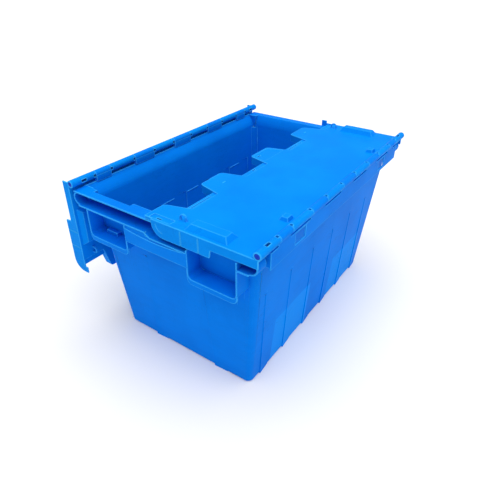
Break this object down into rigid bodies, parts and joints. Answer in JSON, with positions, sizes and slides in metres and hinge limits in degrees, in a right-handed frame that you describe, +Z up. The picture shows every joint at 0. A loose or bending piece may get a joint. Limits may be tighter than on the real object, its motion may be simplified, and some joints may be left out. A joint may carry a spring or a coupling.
{
  "type": "attached-lid storage crate",
  "caption": "Tapered plastic crate with two hinged half lids that interlock with fingers, hand-holds in both short ends and steel hinge rods; one lid closed, one hanging open.",
  "frame": {"origin": "middle of the tub's underside, the face that it stands on", "axes": "+X along the length, +Y across towards the hinge of the lid that hangs open, +Z up"},
  "size_m": [0.597, 0.446, 0.3413],
  "materials": {
    "blue_shell": "fine moulded grain, satin, with light scuffs",
    "rod_steel": "drawn wire, dull",
    "dark_plug": "smooth moulded, satin"
  },
  "bodies": {
    "tub_body": {"tub": "blue_shell", "hinge_rod_right": "rod_steel", "hinge_rod_left": "rod_steel"},
    "right_lid": {"lid_right": "blue_shell", "hinge_plug_right_near": "dark_plug", "hinge_plug_right_far": "dark_plug"},
    "left_lid": {"lid_left": "blue_shell", "hinge_plug_left_near": "dark_plug", "hinge_plug_left_far": "dark_plug"}
  },
  "joints": [
    {"name": "right_lid_hinge", "type": "hinge", "parent": "tub_body", "child": "right_lid", "pos_m": [0, -0.20035, 0.3343], "axis": [1, 0, 0], "range_deg": [0, 269]},
    {"name": "left_lid_hinge", "type": "hinge", "parent": "tub_body", "child": "left_lid", "pos_m": [0, 0.20035, 0.3343], "axis": [-1, 0, 0], "range_deg": [-269, 0]}
  ]
}
